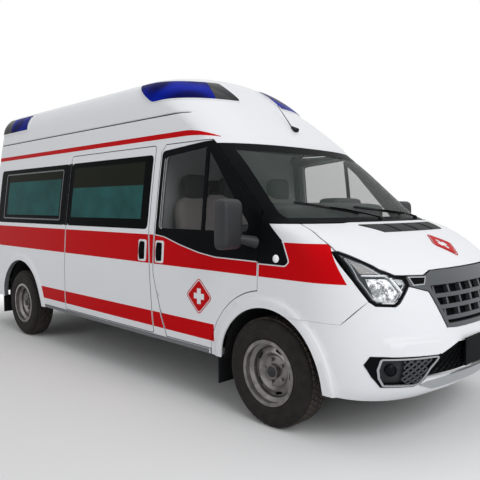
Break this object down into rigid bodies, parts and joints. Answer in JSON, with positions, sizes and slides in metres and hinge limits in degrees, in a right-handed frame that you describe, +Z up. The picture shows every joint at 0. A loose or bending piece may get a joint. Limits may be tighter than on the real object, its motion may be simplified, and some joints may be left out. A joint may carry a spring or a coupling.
{
  "type": "ambulance van",
  "caption": "High-roof panel-van ambulance with hinged cab and rear doors, opening bonnet, steered front wheels, side windows, roof warning lamps and red stripes.",
  "frame": {"origin": "on the ground below the middle of the overall box", "axes": "+X forward, +Y to the vehicle's left, +Z up"},
  "size_m": [5.78, 2.4866, 2.64],
  "materials": {
    "body_paint": "gloss white paint with red stripes",
    "steel": "painted sheet",
    "chassis_metal": "dull dark metal",
    "tinted_glass": "dark tinted",
    "black_plastic": "grained black",
    "tyre": "road rubber",
    "wheel_silver": "silver paint",
    "lamp_clear": "clear lens",
    "lamp_red": "red lens",
    "lamp_blue": "blue lens",
    "dash_plastic": "grained grey",
    "seat_cloth": "grey cloth"
  },
  "bodies": {
    "van": {"floor_pan": "steel", "wheel_tubs": "steel", "body_side_right": "body_paint", "body_side_left": "body_paint", "high_roof": "body_paint", "screen_frame": "black_plastic", "windscreen": "tinted_glass", "wing_right": "body_paint", "wing_left": "body_paint", "bumper_front": "body_paint", "grilles": "black_plastic", "headlamps": "lamp_clear", "plate_board": "black_plastic", "engine": "chassis_metal", "front_suspension": "chassis_metal", "dashboard": "dash_plastic", "cab_seats": "seat_cloth", "partition": "steel", "sliding_door": "body_paint", "side_windows": "tinted_glass", "tail_lamps": "lamp_red", "bumper_rear": "black_plastic", "roof_lamps": "lamp_blue", "mudflaps": "black_plastic", "exhaust": "chassis_metal", "fuel_tank": "black_plastic", "prop_shaft": "chassis_metal", "rear_axle": "chassis_metal", "leaf_springs": "chassis_metal"},
    "door_front_right": {"door_right": "body_paint", "door_glass_right": "tinted_glass", "mirror_right": "black_plastic"},
    "door_front_left": {"door_left": "body_paint", "door_glass_left": "tinted_glass", "mirror_left": "black_plastic"},
    "door_rear_right": {"rear_door_right": "body_paint", "rear_glass_right": "tinted_glass"},
    "door_rear_left": {"rear_door_left": "body_paint", "rear_glass_left": "tinted_glass"},
    "bonnet": {"bonnet": "body_paint"},
    "steer_right": {"knuckle_right": "chassis_metal"},
    "steer_left": {"knuckle_left": "chassis_metal"},
    "wheel_front_right": {"rim_front_right": "wheel_silver", "tyre_front_right": "tyre"},
    "wheel_front_left": {"rim_front_left": "wheel_silver", "tyre_front_left": "tyre"},
    "wheel_rear_right": {"rim_rear_right": "wheel_silver", "tyre_rear_right": "tyre"},
    "wheel_rear_left": {"rim_rear_left": "wheel_silver", "tyre_rear_left": "tyre"}
  },
  "joints": [
    {"name": "door_front_right_swing", "type": "hinge", "parent": "van", "child": "door_front_right", "pos_m": [1.7785, -0.987, 1], "axis": [0, 0, 1], "range_deg": [0, 68]},
    {"name": "door_front_left_swing", "type": "hinge", "parent": "van", "child": "door_front_left", "pos_m": [1.7785, 0.987, 1], "axis": [0, 0, -1], "range_deg": [0, 68]},
    {"name": "door_rear_right_swing", "type": "hinge", "parent": "van", "child": "door_rear_right", "pos_m": [-2.843, -0.7635, 1.15], "axis": [0, 0, 1], "range_deg": [0, 175]},
    {"name": "door_rear_left_swing", "type": "hinge", "parent": "van", "child": "door_rear_left", "pos_m": [-2.843, 0.7635, 1.15], "axis": [0, 0, -1], "range_deg": [0, 175]},
    {"name": "bonnet_lift", "type": "hinge", "parent": "van", "child": "bonnet", "pos_m": [2.0412, 0, 1.36], "axis": [0, -1, 0], "range_deg": [0, 55]},
    {"name": "steering_right", "type": "hinge", "parent": "van", "child": "steer_right", "pos_m": [1.86, -0.8, 0.3], "axis": [0, 0, 1], "range_deg": [-33, 33]},
    {"name": "steering_left", "type": "hinge", "parent": "van", "child": "steer_left", "pos_m": [1.86, 0.8, 0.3], "axis": [0, 0, 1], "range_deg": [-33, 33]},
    {"name": "wheel_front_right_roll", "type": "hinge", "parent": "steer_right", "child": "wheel_front_right", "pos_m": [1.86, -0.87, 0.364], "axis": [0, 1, 0], "continuous": true},
    {"name": "wheel_front_left_roll", "type": "hinge", "parent": "steer_left", "child": "wheel_front_left", "pos_m": [1.86, 0.87, 0.364], "axis": [0, 1, 0], "continuous": true},
    {"name": "wheel_rear_right_roll", "type": "hinge", "parent": "van", "child": "wheel_rear_right", "pos_m": [-1.89, -0.87, 0.364], "axis": [0, 1, 0], "continuous": true},
    {"name": "wheel_rear_left_roll", "type": "hinge", "parent": "van", "child": "wheel_rear_left", "pos_m": [-1.89, 0.87, 0.364], "axis": [0, 1, 0], "continuous": true}
  ],
  "couplings": [
    {"joint": "steering_left", "follows": "steering_right", "ratio": 1}
  ]
}
